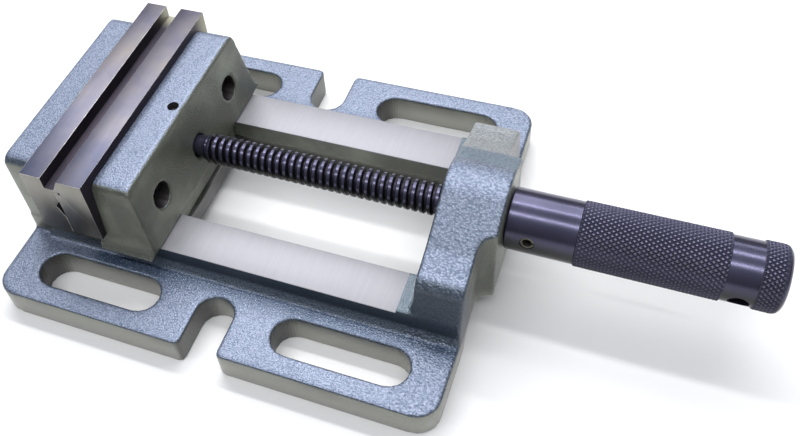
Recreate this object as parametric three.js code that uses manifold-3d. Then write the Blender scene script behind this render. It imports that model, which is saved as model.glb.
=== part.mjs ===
// A flanged drill-press vise, shown closed.
// Millimetres, +Z up. X = 0 is the face of the fixed jaw plate and +X runs along the screw towards
// the handle. Y = 0 is the centre plane, and Z = 0 is the face that the base stands on.

import * as THREE from 'three';
import { mergeVertices } from 'three/addons/utils/BufferGeometryUtils.js';
import Module from 'manifold-3d';

const wasm = await Module();
wasm.setup();

// ---- driving dimensions ----
const jawWidth = 100;
const baseWidth = 150;
const fixedEndX = -27.5;
const bridgeEndX = 150.5;
const flangeThickness = 13;
const railTop = 22;
const jawTop = 58;
const castingTop = 54;
const screwHeight = 34;
const screwPitch = 3;
const screwRadius = 6;
const plateThickness = 13;
const restGap = 0.2; // between the two jaw plates when the vise is closed
const fit = 0.05; // between flat faces that are bolted together
const slide = 0.15; // between faces that slide on each other
const hole = 0.35; // radial room in a hole around a screw or pin
const reach = 2; // how far a cutting solid runs past what it cuts
const weld = 1; // how far joined solids run into each other
const edgeBreak = 0.6; // the small bevel on turned and threaded ends

// ---- how finely round shapes are divided ----
const arcSteps = 4; // per arc of an outline
const roundSides = 24;
const handleSides = 32;
const smallSides = 16;
const hexSides = 6;
const threadSteps = 12; // per turn

// ---- base ----
const midX = (fixedEndX + bridgeEndX) / 2;
const cornerRadius = 9;
const slotWidth = 15;
const slotLength = 52;
const slotOffset = 49.5; // from the middle of the base to the middle of a slot
const slotLineY = 59.3;
const notchMouth = 2;
const railInner = 26;
const railOuter = 43.5;
const railChamfer = 1;
const railUnderside = flangeThickness;
const railRootZ = 2;
const crossMemberX = 4;
const recessHalf = 31.5;
const recessDraft = 3;
const endReliefTop = 9.5;
const endReliefHalf = 37;
const endReliefRound = 8;
const bridgeStartX = 132.8;
const landStartX = 127;
const landStep = 0.8;
const bossEndX = 155.8;
const bossHalf = 18.8;
const hubRadius = 18;
const hubFall = THREE.MathUtils.degToRad(25); // slope of the bridge's top beside its crown
const shoulderInnerY = 27; // where that slope eases into the shoulder
const shoulderHalf = 41;
const shoulderTop = 38.8; // where the shoulder starts to round over
const shoulderRadius = 6;

// ---- jaws ----
const fixedCastingHalf = 43;
const castingCorner = 4;
const plateBottom = 28;
const plateLedge = 3;
const stepWidth = 4;
const stepDepth = 5.3;
const stepBevel = 2.8;
const gripGroove = 2.3; // depth of the vee groove across the fixed plate
const gripHeight = 43; // of the bottom of the groove
const gripLow = 37;
const gripHigh = 46;
const tappedRunout = 0.6; // how much deeper the plates' tapped holes are than the screws
const movingFrontX = restGap + plateThickness + fit;
const movingTopBackX = 28.2;
const movingTopRound = 2;
const movingFootBackX = 33.6;
const movingTopHalf = 45.2;
const movingWaistHalf = 47;
const movingWaistZ = 31;
const movingFootHalf = 50.5;
const movingFootRise = 2;
const tongueStartX = 6;
const tongueEndX = 31.5;
const keeperStartX = 7;
const keeperEndX = 33;
const keeperHalf = 30;
const keeperBottom = 5.5;
const keeperChamfer = 1;

// ---- screws that hold the plates and the keeper ----
const boltRadius = 3;
const boltHeadRadius = 4.6;
const boltHeadHeight = 5.6;
const boltSocketRadius = 2.6;
const boltSocketDepth = 3;
const boltSocketFloor = 1;
const counterboreRadius = 5.1;
const washerThickness = 1.5;
const washerSplit = 1;
const washerRoom = 0.2;
const seatGap = 0.03; // under each washer and each screw head
const plateBoltY = 30;
const plateBoltZ = 37.5;
const plateBoltDepth = 8; // into the plate
const fixedSeatX = -19.5;
const movingSeatX = 19.8;
const keeperBoltX = 21;
const keeperBoltY = 15;
const keeperSeatZ = 9.2;
const keeperHeadHeight = 4;
const keeperBoltTop = 22.5;

// ---- spindle, handle and their small parts ----
const threadRoot = 4.25;
const threadCrestHalf = 0.55;
const threadFlankSlope = Math.tan(THREE.MathUtils.degToRad(15));
const threadRoom = 0.3; // radial room in the bridge's thread
const threadFlankRoom = 0.18;
const threadStartX = 37.5;
const threadEndX = bossEndX + 0.2;
const journalRadius = 4.4;
const journalStartX = 17.5;
const journalBevel = 0.8;
const boreStartX = 15.2;
const grooveX = 24;
const grooveHalf = 2.1;
const grooveRadius = 3;
const tailRadius = 5;
const tailEndX = 181;
const tailRoom = 0.6; // between the spindle's tail and the bottom of the handle's bore
const collarGap = 0.3; // between the boss and the collar when the vise is closed
const collarStartX = bossEndX + collarGap;
const collarRadius = 11.3;
const gripStartX = 180.5;
const gripEndX = 228.5;
const gripRadius = 11.8;
const gripBevel = 0.4;
const neckRadius = 11.25;
const capStartX = 238.4;
const capEndX = 247.2;
const capRound = 3;
const pinX = 164.5;
const pinRadius = 2.5;
const pinHalf = 10.9;
const pinWall = 0.85;
const pinSlit = 0.6;
const pinTilt = THREE.MathUtils.degToRad(-8); // its near end sits a little high
const barHoleX = 234.2;
const barHoleRadius = 3.4;
const barHoleTilt = THREE.MathUtils.degToRad(19);
const retainerRadius = 2;
const retainerPoint = 1.4;
const retainerPointLength = 2.4;
const retainerTipGap = 0.5;
const retainerSink = 2.5; // how far its head sits below the jaw's top
const retainerSocketRadius = 1.15;
const retainerSocketDepth = 2.2;

// ---- finishes ----
function finish(color, roughness, metalness) {
  return new THREE.MeshStandardMaterial({ color, roughness, metalness });
}
const enamel = finish(0x8f9db3, 0.45, 0.15);
const groundSteel = finish(0x8f8a97, 0.35, 0.9);
const blackOxide = finish(0x2b2a38, 0.38, 0.75);
const screwSteel = finish(0x4a4a50, 0.4, 0.8);
const springSteel = finish(0x77777c, 0.35, 0.9);

// ---- from geometry to solid and back ----
function solid(geometry) {
  geometry.deleteAttribute('normal');
  geometry.deleteAttribute('uv');
  const merged = mergeVertices(geometry);
  const corners = merged.index.array;
  const kept = [];
  for (let i = 0; i < corners.length; i += 3) {
    const [a, b, c] = [corners[i], corners[i + 1], corners[i + 2]];
    if (a !== b && b !== c && c !== a) kept.push(a, b, c);
  }
  const mesh = new wasm.Mesh({
    numProp: 3,
    vertProperties: new Float32Array(merged.attributes.position.array),
    triVerts: new Uint32Array(kept),
  });
  return new wasm.Manifold(mesh);
}

function geometryOf(body) {
  const mesh = body.getMesh();
  const geometry = new THREE.BufferGeometry();
  geometry.setAttribute('position', new THREE.BufferAttribute(new Float32Array(mesh.vertProperties), 3));
  geometry.setIndex(new THREE.BufferAttribute(new Uint32Array(mesh.triVerts), 1));
  return geometry;
}

const unite = (...bodies) => bodies.reduce((whole, next) => whole.add(next));
const cut = (body, ...tools) => tools.reduce((left, tool) => left.subtract(tool), body);

// ---- simple solids ----
function block(x0, x1, y0, y1, z0, z1) {
  const geometry = new THREE.BoxGeometry(x1 - x0, y1 - y0, z1 - z0);
  geometry.translate((x0 + x1) / 2, (y0 + y1) / 2, (z0 + z1) / 2);
  return solid(geometry);
}

// A solid cylinder about a line along X.
function rodX(radius, x0, x1, y, z, sides = roundSides) {
  const geometry = new THREE.CylinderGeometry(radius, radius, x1 - x0, sides);
  geometry.rotateZ(-Math.PI / 2);
  geometry.translate((x0 + x1) / 2, y, z);
  return solid(geometry);
}

// A solid cylinder about a line along Y, turned about the screw axis by tilt.
function rodY(radius, half, x, tilt, sides = smallSides) {
  const geometry = new THREE.CylinderGeometry(radius, radius, 2 * half, sides);
  geometry.rotateX(tilt);
  geometry.translate(x, 0, screwHeight);
  return solid(geometry);
}

// A solid cylinder about a line along Z.
function rodZ(radius, z0, z1, x, y, sides = smallSides) {
  const geometry = new THREE.CylinderGeometry(radius, radius, z1 - z0, sides);
  geometry.rotateX(Math.PI / 2);
  geometry.translate(x, y, (z0 + z1) / 2);
  return solid(geometry);
}

// An outline in X and Y, raised from z0 to z1.
function raise(shape, z0, z1) {
  const options = { depth: z1 - z0, bevelEnabled: false, curveSegments: arcSteps };
  const geometry = new THREE.ExtrudeGeometry(shape, options);
  geometry.translate(0, 0, z0);
  return solid(geometry);
}

// A cross-section in Y and Z, run along X from x0 to x1.
function runX(shape, x0, x1) {
  const options = { depth: x1 - x0, bevelEnabled: false, curveSegments: arcSteps };
  const geometry = new THREE.ExtrudeGeometry(shape, options);
  const [alongX, alongY, alongZ] = [[1, 0, 0], [0, 1, 0], [0, 0, 1]].map((v) => new THREE.Vector3(...v));
  geometry.applyMatrix4(new THREE.Matrix4().makeBasis(alongY, alongZ, alongX));
  geometry.translate(x0, 0, 0);
  return solid(geometry);
}

// A profile of [x, radius] points, turned about the screw axis.
function turned(profile, sides = roundSides) {
  const points = profile.map(([x, radius]) => new THREE.Vector2(radius, x));
  const geometry = new THREE.LatheGeometry(points, sides);
  geometry.rotateZ(-Math.PI / 2);
  geometry.translate(0, 0, screwHeight);
  return solid(geometry);
}

const polygon = (points) => new THREE.Shape(points.map(([a, b]) => new THREE.Vector2(a, b)));

// ---- the screw thread: a right-hand trapezoidal ridge wound round a core ----
// The skin is a row of four points (root, crest, crest, root) repeated up the helix. room is the
// radial clearance and flankRoom the axial one, for cutting the matching thread in the bridge.
function threaded(x0, x1, room, flankRoom) {
  const [core, crest] = [threadRoot + room, screwRadius + room];
  const crestHalf = threadCrestHalf + flankRoom;
  const rootHalf = crestHalf + (crest - core) * threadFlankSlope;
  const row = [[core, -rootHalf], [crest, -crestHalf], [crest, crestHalf], [core, rootHalf]];
  const firstPitch = Math.floor(x0 / screwPitch) - 2;
  const count = (Math.ceil(x1 / screwPitch) + 2 - firstPitch) * threadSteps;
  const points = [];
  const point = (angle, radius, x) => {
    points.push(x, radius * Math.cos(angle), screwHeight + radius * Math.sin(angle));
    return points.length / 3 - 1;
  };
  const rows = Array.from({ length: count + 1 }, (_, i) => {
    const turns = i / threadSteps;
    const x = (firstPitch + turns) * screwPitch;
    return row.map(([radius, offset]) => point(2 * Math.PI * turns, radius, x + offset));
  });
  const faces = [];
  const fan = (loop) => loop.slice(2).forEach((last, i) => faces.push(loop[0], loop[i + 1], last));
  for (let i = 0; i < count; i += 1) {
    for (let k = 0; k < 3; k += 1) fan([rows[i][k], rows[i + 1][k], rows[i + 1][k + 1], rows[i][k + 1]]);
    const [near, far] = [rows[i + threadSteps], rows[i + threadSteps + 1]];
    if (far) fan([rows[i][3], rows[i + 1][3], far[0], near[0]]);
  }
  const firstTurn = rows.slice(1, threadSteps + 1).map((row4) => row4[0]).reverse();
  const lastTurn = rows.slice(-threadSteps - 1, -1).map((row4) => row4[3]).reverse();
  const startHub = point(0, 0, firstPitch * screwPitch);
  const endHub = point(0, 0, firstPitch * screwPitch + count * screwPitch / threadSteps);
  fan([startHub, ...rows[0], ...firstTurn, rows[0][0]]);
  fan([endHub, ...[...rows[count], ...lastTurn, rows[count][0]].reverse()]);
  const geometry = new THREE.BufferGeometry();
  geometry.setAttribute('position', new THREE.Float32BufferAttribute(points, 3));
  geometry.setIndex(faces);
  return solid(geometry).intersect(rodX(screwRadius + reach, x0, x1, 0, screwHeight, 6));
}

// ---- base ----
function slotHole(middleX, middleY) {
  const radius = slotWidth / 2;
  const half = slotLength / 2 - radius;
  const path = new THREE.Shape();
  path.absarc(middleX + half, middleY, radius, -Math.PI / 2, Math.PI / 2, false);
  path.absarc(middleX - half, middleY, radius, Math.PI / 2, Math.PI * 1.5, false);
  path.closePath();
  return raise(path, -reach, flangeThickness + reach);
}

function notchHole(side) {
  const radius = slotWidth / 2;
  const edge = baseWidth / 2;
  const path = new THREE.Shape();
  path.moveTo(midX - radius - notchMouth, -edge - reach);
  path.lineTo(midX - radius - notchMouth, -edge);
  path.absarc(midX - radius - notchMouth, -edge + notchMouth, notchMouth, -Math.PI / 2, 0, false);
  path.absarc(midX, -slotLineY, radius, Math.PI, 0, true);
  path.absarc(midX + radius + notchMouth, -edge + notchMouth, notchMouth, Math.PI, Math.PI * 1.5, false);
  path.lineTo(midX + radius + notchMouth, -edge - reach);
  path.closePath();
  const cutter = raise(path, -reach, flangeThickness + reach);
  return side < 0 ? cutter : cutter.rotate([0, 0, 180]).translate([2 * midX, 0, 0]);
}

function flangePlate() {
  const half = baseWidth / 2 - cornerRadius;
  const [left, right] = [fixedEndX + cornerRadius, bridgeEndX - cornerRadius];
  const outline = new THREE.Shape();
  outline.absarc(left, -half, cornerRadius, Math.PI, Math.PI * 1.5, false);
  outline.absarc(right, -half, cornerRadius, Math.PI * 1.5, Math.PI * 2, false);
  outline.absarc(right, half, cornerRadius, 0, Math.PI / 2, false);
  outline.absarc(left, half, cornerRadius, Math.PI / 2, Math.PI, false);
  outline.closePath();
  const slots = [-1, 1].flatMap((side) => [
    slotHole(midX - slotOffset, side * slotLineY),
    slotHole(midX + slotOffset, side * slotLineY),
    notchHole(side),
  ]);
  return cut(raise(outline, 0, flangeThickness), ...slots);
}

// Both rails as one block; the window between them is cut out later.
function railBlock() {
  const outer = railOuter;
  const section = polygon([
    [-outer, railRootZ], [outer, railRootZ], [outer, railTop - railChamfer], [outer - railChamfer, railTop],
    [-outer + railChamfer, railTop], [-outer, railTop - railChamfer],
  ]);
  const landTop = railTop + landStep;
  const lands = block(landStartX, bridgeStartX + reach, -outer, outer, flangeThickness - weld, landTop);
  return unite(runX(section, fixedEndX, bridgeStartX + reach), lands);
}

function fixedJaw() {
  const half = fixedCastingHalf;
  const low = castingTop - castingCorner;
  const section = new THREE.Shape();
  section.moveTo(-half, flangeThickness - weld);
  section.lineTo(half, flangeThickness - weld);
  section.absarc(half - castingCorner, low, castingCorner, 0, Math.PI / 2, false);
  section.absarc(-half + castingCorner, low, castingCorner, Math.PI / 2, Math.PI, false);
  section.closePath();
  const upright = runX(section, fixedEndX, -plateThickness - fit);
  const ledgeEnd = -plateThickness + plateLedge;
  const ledge = block(-plateThickness - weld, ledgeEnd, -half, half, railTop - weld, plateBottom - fit);
  const bolts = [-1, 1].flatMap((side) => [
    rodX(counterboreRadius, fixedEndX - reach, fixedSeatX, side * plateBoltY, plateBoltZ, smallSides),
    rodX(boltRadius + hole, fixedSeatX - weld, 0, side * plateBoltY, plateBoltZ, smallSides),
  ]);
  return cut(unite(upright, ledge), ...bolts);
}

// The bridge's cross-section: a hub round the screw, sloping down to a shoulder over each rail.
function bridgeSection() {
  const tangentY = hubRadius * Math.sin(hubFall);
  const tangentZ = screwHeight + hubRadius * Math.cos(hubFall);
  const innerZ = tangentZ - (shoulderInnerY - tangentY) * Math.tan(hubFall);
  const [middleY, low] = [shoulderHalf - shoulderRadius, shoulderTop - shoulderRadius];
  const section = new THREE.Shape();
  section.moveTo(-railOuter, endReliefTop);
  section.lineTo(railOuter, endReliefTop);
  section.lineTo(railOuter, railTop);
  section.absarc(middleY, low, shoulderRadius, 0, Math.PI / 2, false);
  section.lineTo(shoulderInnerY, innerZ);
  section.absarc(0, screwHeight, hubRadius, Math.PI / 2 - hubFall, Math.PI / 2 + hubFall, false);
  section.lineTo(-shoulderInnerY, innerZ);
  section.absarc(-middleY, low, shoulderRadius, Math.PI / 2, Math.PI, false);
  section.lineTo(-railOuter, railTop);
  section.closePath();
  return section;
}

// The boss that the handle's collar runs against, with a hollow fillet on each side.
function boss(section) {
  const out = bossEndX - bridgeEndX;
  const plan = new THREE.Shape();
  plan.moveTo(bridgeEndX - reach, -bossHalf - out);
  plan.lineTo(bridgeEndX, -bossHalf - out);
  plan.absarc(bossEndX, -bossHalf - out, out, Math.PI, Math.PI / 2, true);
  plan.absarc(bossEndX, bossHalf + out, out, Math.PI * 1.5, Math.PI, true);
  plan.lineTo(bridgeEndX - reach, bossHalf + out);
  plan.closePath();
  return raise(plan, endReliefTop, jawTop).intersect(runX(section, bridgeEndX - reach, bossEndX));
}

// The arched gap under the bridge.
function endRelief() {
  const [straight, low] = [endReliefHalf - endReliefRound, endReliefTop - endReliefRound];
  const arch = new THREE.Shape();
  arch.moveTo(-endReliefHalf, -reach);
  arch.lineTo(endReliefHalf, -reach);
  arch.absarc(straight, low, endReliefRound, 0, Math.PI / 2, false);
  arch.absarc(-straight, low, endReliefRound, Math.PI / 2, Math.PI, false);
  arch.closePath();
  return runX(arch, bridgeStartX - weld, bossEndX + reach);
}

function baseBody() {
  const section = bridgeSection();
  const bridge = unite(runX(section, bridgeStartX, bridgeEndX), boss(section));
  const whole = unite(flangePlate(), railBlock(), fixedJaw(), bridge);
  const wide = recessHalf + recessDraft;
  const channel = polygon([[-wide, -reach], [wide, -reach], [wide, 0], [recessHalf, railUnderside],
    [-recessHalf, railUnderside], [-wide, 0]]);
  return cut(
    whole,
    block(crossMemberX, bridgeStartX, -railInner, railInner, -reach, jawTop),
    runX(channel, crossMemberX, bridgeStartX),
    endRelief(),
    threaded(bridgeStartX - screwPitch, bossEndX + screwPitch, threadRoom, threadFlankRoom),
  );
}

// ---- jaw plates ----
function tappedHoles(x0, x1) {
  return [-1, 1].map((side) => rodX(boltRadius + hole, x0, x1, side * plateBoltY, plateBoltZ, smallSides));
}

function fixedJawPlate() {
  const half = jawWidth / 2;
  const bevel = block(-stepWidth, reach, -half - reach, half + reach, jawTop - stepDepth, jawTop + reach);
  const vee = polygon([[reach, gripLow], [reach, gripHigh], [0, gripHigh], [-gripGroove, gripHeight],
    [0, gripLow]].reverse());
  const groove = raise(vee, -half - reach, half + reach).rotate([90, 0, 0]);
  return cut(
    block(-plateThickness, 0, -half, half, plateBottom, jawTop),
    bevel,
    groove,
    ...tappedHoles(-plateThickness - reach, -plateThickness + plateBoltDepth + tappedRunout),
  );
}

function movingJawPlate() {
  const half = jawWidth / 2;
  const [face, back] = [restGap, restGap + plateThickness];
  const section = polygon([[face, jawTop - stepDepth], [face - reach, jawTop - stepDepth], [face - reach,
    jawTop + reach], [face + stepBevel, jawTop + reach], [face + stepBevel, jawTop]]);
  const bevel = raise(section, -half - reach, half + reach).rotate([90, 0, 0]);
  return cut(
    block(face, back, -half, half, plateBottom, jawTop),
    bevel,
    ...tappedHoles(back - plateBoltDepth - tappedRunout, back + reach),
  );
}

// ---- moving jaw ----
// The casting narrows upwards: its back leans and its ends sweep out to a foot that overhangs the rails.
function movingJaw() {
  const low = railTop + slide;
  const [foot, waist, top] = [movingFootHalf, movingWaistHalf, movingTopHalf];
  const ends = new THREE.Shape();
  ends.moveTo(-foot, low);
  ends.lineTo(foot, low);
  ends.quadraticCurveTo(waist, low + movingFootRise, waist, movingWaistZ);
  ends.lineTo(top, castingTop - castingCorner);
  ends.quadraticCurveTo(top, castingTop, top - castingCorner, castingTop);
  ends.lineTo(-top + castingCorner, castingTop);
  ends.quadraticCurveTo(-top, castingTop, -top, castingTop - castingCorner);
  ends.lineTo(-waist, movingWaistZ);
  ends.quadraticCurveTo(-waist, low + movingFootRise, -foot, low);
  const toe = movingFrontX - plateLedge;
  const lean = (movingFootBackX - movingTopBackX) / (castingTop - low) * movingTopRound;
  const side = polygon([[toe, -plateBottom + fit], [movingFrontX, -plateBottom + fit], [movingFrontX, -castingTop],
    [movingTopBackX - movingTopRound, -castingTop]]);
  side.quadraticCurveTo(movingTopBackX, -castingTop, movingTopBackX + lean, -castingTop + movingTopRound);
  side.lineTo(movingFootBackX, -low);
  side.lineTo(toe, -low);
  side.closePath();
  const leaning = raise(side, -foot - reach, foot + reach).rotate([-90, 0, 0]);
  const upper = runX(ends, toe - reach, movingFootBackX + reach).intersect(leaning);
  const tongueHalf = railInner - slide;
  const tongueLow = railUnderside - slide;
  const tongue = block(tongueStartX, tongueEndX, -tongueHalf, tongueHalf, tongueLow, low + weld);
  const bolts = [-1, 1].flatMap((end) => [
    rodX(counterboreRadius, movingSeatX, movingFootBackX + reach, end * plateBoltY, plateBoltZ, smallSides),
    rodX(boltRadius + hole, 0, movingSeatX + weld, end * plateBoltY, plateBoltZ, smallSides),
    rodZ(boltRadius + hole, 0, keeperBoltTop + weld, keeperBoltX, end * keeperBoltY),
  ]);
  return cut(
    unite(upper, tongue),
    rodX(journalRadius + hole, boreStartX, movingFootBackX + reach, 0, screwHeight),
    rodZ(retainerRadius + hole, screwHeight, castingTop + reach, grooveX, 0),
    ...bolts,
  );
}

function keeperPlate() {
  const [x0, x1, half, chamfer] = [keeperStartX, keeperEndX, keeperHalf, keeperChamfer];
  const top = railUnderside - slide - fit;
  const outline = polygon([[x0 + chamfer, -half], [x1 - chamfer, -half], [x1, -half + chamfer],
    [x1, half - chamfer], [x1 - chamfer, half], [x0 + chamfer, half], [x0, half - chamfer],
    [x0, -half + chamfer]]);
  const bolts = [-1, 1].flatMap((end) => [
    rodZ(counterboreRadius, 0, keeperSeatZ, keeperBoltX, end * keeperBoltY),
    rodZ(boltRadius + hole, 0, railTop, keeperBoltX, end * keeperBoltY),
  ]);
  return cut(raise(outline, keeperBottom, top), ...bolts);
}

// ---- fasteners ----
// A socket-head screw that points along +Z from its seat at the origin, with its head below the seat.
function capScrew(length, headHeight) {
  const shank = rodZ(boltRadius, -weld, length - edgeBreak, 0, 0);
  const tip = solid(new THREE.CylinderGeometry(boltRadius - edgeBreak, boltRadius, edgeBreak, smallSides)
    .rotateX(Math.PI / 2).translate(0, 0, length - edgeBreak / 2));
  const head = rodZ(boltHeadRadius, -headHeight, 0, 0, 0, roundSides);
  const depth = Math.min(boltSocketDepth, headHeight - boltSocketFloor);
  const socket = rodZ(boltSocketRadius, -headHeight - reach, depth - headHeight, 0, 0, hexSides);
  return cut(unite(shank, tip, head), socket);
}

// A split spring washer that lies on the origin and rises along -Z.
function splitWasher() {
  const low = -washerThickness - reach;
  return cut(
    rodZ(boltHeadRadius, -washerThickness, 0, 0, 0, roundSides),
    rodZ(boltRadius + washerRoom, low, reach, 0, 0),
    block(0, boltHeadRadius + reach, -washerSplit / 2, washerSplit / 2, low, reach),
  );
}

// ---- spindle and handle ----
function leadScrew() {
  const profile = [
    [journalStartX, 0], [journalStartX, journalRadius - journalBevel],
    [journalStartX + journalBevel, journalRadius],
    [grooveX - grooveHalf, journalRadius], [grooveX - grooveHalf, grooveRadius],
    [grooveX + grooveHalf, grooveRadius], [grooveX + grooveHalf, journalRadius],
    [threadStartX + weld, journalRadius], [threadStartX + weld, 0],
  ];
  const tail = rodX(tailRadius, threadEndX - fit, tailEndX, 0, screwHeight);
  return cut(
    unite(turned(profile), threaded(threadStartX, threadEndX, 0, 0), tail),
    rodY(pinRadius + hole, tailRadius + reach, pinX, pinTilt),
  );
}

function handleBody() {
  const bore = tailRadius + hole;
  const [roundX, roundY] = [capEndX - capRound, gripRadius - capRound];
  const arc = Array.from({ length: arcSteps + 1 }, (_, i) => {
    const angle = (i / arcSteps) * (Math.PI / 2);
    return [roundX + capRound * Math.sin(angle), roundY + capRound * Math.cos(angle)];
  });
  const profile = [
    [tailEndX + tailRoom, 0], [tailEndX + tailRoom, bore], [collarStartX, bore],
    [collarStartX, collarRadius - edgeBreak], [collarStartX + edgeBreak, collarRadius],
    [gripStartX, collarRadius], [gripStartX, gripRadius - gripBevel], [gripStartX + gripBevel, gripRadius],
    [gripEndX - gripBevel, gripRadius], [gripEndX, gripRadius - gripBevel], [gripEndX, neckRadius],
    [capStartX, neckRadius], [capStartX, gripRadius],
    ...arc, [capEndX, 0],
  ];
  return cut(
    turned(profile, handleSides),
    rodY(pinRadius + hole, collarRadius + reach, pinX, pinTilt),
    rodY(barHoleRadius, gripRadius + reach, barHoleX, barHoleTilt),
  );
}

// A slotted spring pin across the collar and the spindle's tail.
function handlePin() {
  const long = pinHalf + reach;
  const slit = block(pinX, pinX + pinRadius + reach, -long, long, -pinSlit / 2, pinSlit / 2)
    .rotate([THREE.MathUtils.radToDeg(pinTilt), 0, 0])
    .translate([0, 0, screwHeight]);
  return cut(
    rodY(pinRadius, pinHalf, pinX, pinTilt),
    rodY(pinRadius - pinWall, long, pinX, pinTilt),
    slit,
  );
}

// A grub screw down through the jaw's top, whose point sits in the groove of the journal.
function retainingScrew() {
  const tip = screwHeight + grooveRadius + retainerTipGap;
  const shoulder = tip + retainerPointLength;
  const head = castingTop - retainerSink;
  return cut(
    rodZ(retainerRadius, shoulder, head, grooveX, 0).add(
      rodZ(retainerPoint, tip, shoulder + edgeBreak, grooveX, 0)),
    rodZ(retainerSocketRadius, head - retainerSocketDepth, head + reach, grooveX, 0, hexSides),
  );
}

// A hardened disc at the bottom of the bore, which takes the spindle's push.
function thrustDisc() {
  return rodX(journalRadius, boreStartX + fit, journalStartX - fit, 0, screwHeight);
}

// ---- the assembly ----
const group = new THREE.Group();

function place(name, body, material, position = [0, 0, 0], turn = [0, 0, 0]) {
  const mesh = new THREE.Mesh(geometryOf(body), material);
  mesh.name = name;
  mesh.position.set(...position);
  mesh.rotation.set(...turn);
  group.add(mesh);
}

place('base_body', baseBody(), enamel);
place('fixed_jaw_plate', fixedJawPlate(), groundSteel);
place('moving_jaw', movingJaw(), enamel);
place('moving_jaw_plate', movingJawPlate(), groundSteel);
place('keeper_plate', keeperPlate(), groundSteel);
place('lead_screw', leadScrew(), blackOxide);
place('handle', handleBody(), blackOxide);
place('handle_pin', handlePin(), springSteel);
place('spindle_retaining_screw', retainingScrew(), screwSteel);
place('thrust_disc', thrustDisc(), groundSteel);

const quarter = Math.PI / 2;
for (const [end, side] of [['near', -1], ['far', 1]]) {
  const y = side * plateBoltY;
  const fixedLength = plateBoltDepth - plateThickness - fixedSeatX + washerThickness;
  place(`fixed_plate_screw_${end}`, capScrew(fixedLength, boltHeadHeight), screwSteel,
    [fixedSeatX - washerThickness - 2 * seatGap, y, plateBoltZ], [0, quarter, 0]);
  place(`fixed_plate_washer_${end}`, splitWasher(), springSteel,
    [fixedSeatX - seatGap, y, plateBoltZ], [0, quarter, 0]);
  const movingLength = movingSeatX - movingFrontX + plateBoltDepth + washerThickness;
  place(`moving_plate_screw_${end}`, capScrew(movingLength, boltHeadHeight), screwSteel,
    [movingSeatX + washerThickness + 2 * seatGap, y, plateBoltZ], [0, -quarter, 0]);
  place(`moving_plate_washer_${end}`, splitWasher(), springSteel,
    [movingSeatX + seatGap, y, plateBoltZ], [0, -quarter, 0]);
  const keeperY = side * keeperBoltY;
  const keeperSeat = keeperSeatZ - washerThickness;
  place(`keeper_screw_${end}`, capScrew(keeperBoltTop - keeperSeat, keeperHeadHeight), screwSteel,
    [keeperBoltX, keeperY, keeperSeat - 2 * seatGap]);
  place(`keeper_washer_${end}`, splitWasher(), springSteel, [keeperBoltX, keeperY, keeperSeatZ - seatGap]);
}

export default group;
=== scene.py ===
# The looks of a flanged drill press vise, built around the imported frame.
# The frame is in metres with +Z up: +X runs along the screw towards the handle, y = 0 is the centre
# plane and z = 0 is the floor. Sizes below are in millimetres; put() turns them into metres.
import math

import bmesh
import bpy
from mathutils import Matrix, Vector


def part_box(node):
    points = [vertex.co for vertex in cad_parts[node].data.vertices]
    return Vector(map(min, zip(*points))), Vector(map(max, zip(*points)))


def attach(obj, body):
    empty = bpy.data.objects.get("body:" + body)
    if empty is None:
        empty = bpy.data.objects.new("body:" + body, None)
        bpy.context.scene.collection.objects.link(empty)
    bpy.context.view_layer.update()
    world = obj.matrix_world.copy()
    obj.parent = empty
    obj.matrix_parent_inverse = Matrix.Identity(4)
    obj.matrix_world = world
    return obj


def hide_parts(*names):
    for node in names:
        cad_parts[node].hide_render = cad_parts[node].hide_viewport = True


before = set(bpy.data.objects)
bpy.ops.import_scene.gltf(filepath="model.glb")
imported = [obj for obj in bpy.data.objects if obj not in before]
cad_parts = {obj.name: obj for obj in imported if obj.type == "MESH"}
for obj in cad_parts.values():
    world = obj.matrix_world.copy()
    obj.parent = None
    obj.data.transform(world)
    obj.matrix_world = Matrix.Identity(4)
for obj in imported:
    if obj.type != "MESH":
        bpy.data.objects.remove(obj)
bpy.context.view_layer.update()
scene = bpy.context.scene

MM = 0.001
OVERRUN = 2.0  # how far a cutting solid runs past what it cuts
BITE = 1.0  # a shorter overlap, mostly for solids that are joined
HANDLE_SIDES = 96
FINE_SIDES = 64
SMALL_SIDES = 40
MARK_SIDES = 12
HEX = 6
EDGE_BREAK = 0.2
WELD = 0.001 * MM  # corners nearer than this are one corner
FLAT_ANGLE = math.radians(1.0)  # triangles this nearly level are one face
BEVEL_ANGLE = math.radians(30.0)
CREASE = 38.0  # edges sharper than this stay crisp
THREAD_CREASE = 32.0
KNURL_CREASE = 30.0

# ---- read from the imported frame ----


def span(node):
    """A node's lowest and highest corner in millimetres."""
    low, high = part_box(node)
    return [v / MM for v in low], [v / MM for v in high]


BASE_LOW, BASE_HIGH = span("base_body")
JAW_LOW, JAW_HIGH = span("moving_jaw")
PLATE_LOW, PLATE_HIGH = span("moving_jaw_plate")
SCREW_LOW, SCREW_HIGH = span("lead_screw")
HANDLE_LOW, HANDLE_HIGH = span("handle")
PIN_LOW, PIN_HIGH = span("handle_pin")
GRUB_LOW, GRUB_HIGH = span("spindle_retaining_screw")
AXIS_Z = (SCREW_LOW[2] + SCREW_HIGH[2]) / 2
BOSS_END = BASE_HIGH[0]
JAW_TOP = JAW_HIGH[2]  # both castings are this high

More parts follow.
